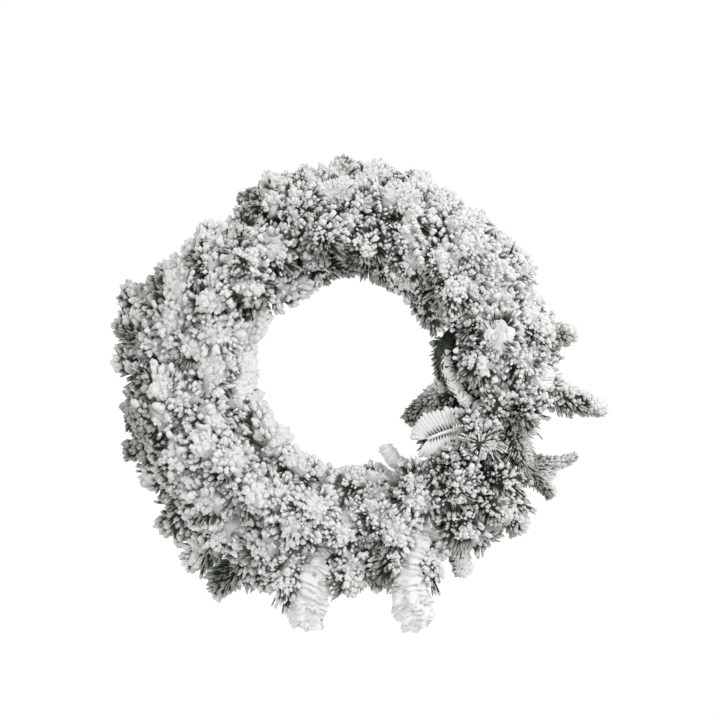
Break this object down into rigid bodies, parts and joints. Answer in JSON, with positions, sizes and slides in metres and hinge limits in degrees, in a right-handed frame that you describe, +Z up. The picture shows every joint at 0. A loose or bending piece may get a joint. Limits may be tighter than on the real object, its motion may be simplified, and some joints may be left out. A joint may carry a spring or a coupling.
{
  "type": "frosted pine wreath",
  "caption": "Round artificial pine wreath with flocked, frosted needle sprays hooked round a wire ring, open in the middle, hung by its ring.",
  "frame": {"origin": "the point where a wall hook carries the wreath: the underside of the ring wire at its top", "axes": "+Z up as the wreath hangs, +X to the right as seen from the front, and +Y backwards, towards the wall or door; the front faces -Y"},
  "size_m": [0.6016, 0.1352, 0.5611],
  "materials": {
    "frosted_needles": "matt white flock over green needles",
    "green_wire": "satin"
  },
  "bodies": {
    "root": {"wire_ring": "green_wire", "outer_spray_01": "frosted_needles", "outer_spray_02": "frosted_needles", "outer_spray_03": "frosted_needles", "outer_spray_04": "frosted_needles", "outer_spray_05": "frosted_needles", "outer_spray_06": "frosted_needles", "outer_spray_07": "frosted_needles", "outer_spray_08": "frosted_needles", "outer_spray_09": "frosted_needles", "outer_spray_10": "frosted_needles", "outer_spray_11": "frosted_needles", "outer_spray_12": "frosted_needles", "shoulder_spray_01": "frosted_needles", "shoulder_spray_02": "frosted_needles", "shoulder_spray_03": "frosted_needles", "shoulder_spray_04": "frosted_needles", "shoulder_spray_05": "frosted_needles", "shoulder_spray_06": "frosted_needles", "shoulder_spray_07": "frosted_needles", "shoulder_spray_08": "frosted_needles", "shoulder_spray_09": "frosted_needles", "shoulder_spray_10": "frosted_needles", "shoulder_spray_11": "frosted_needles", "shoulder_spray_12": "frosted_needles", "face_spray_01": "frosted_needles", "face_spray_02": "frosted_needles", "face_spray_03": "frosted_needles", "face_spray_04": "frosted_needles", "face_spray_05": "frosted_needles", "face_spray_06": "frosted_needles", "face_spray_07": "frosted_needles", "face_spray_08": "frosted_needles", "face_spray_09": "frosted_needles", "face_spray_10": "frosted_needles", "face_spray_11": "frosted_needles", "face_spray_12": "frosted_needles", "inner_spray_01": "frosted_needles", "inner_spray_02": "frosted_needles", "inner_spray_03": "frosted_needles", "inner_spray_04": "frosted_needles", "inner_spray_05": "frosted_needles", "inner_spray_06": "frosted_needles", "inner_spray_07": "frosted_needles", "inner_spray_08": "frosted_needles", "inner_spray_09": "frosted_needles", "inner_spray_10": "frosted_needles", "inner_spray_11": "frosted_needles", "inner_spray_12": "frosted_needles"}
  },
  "joints": []
}
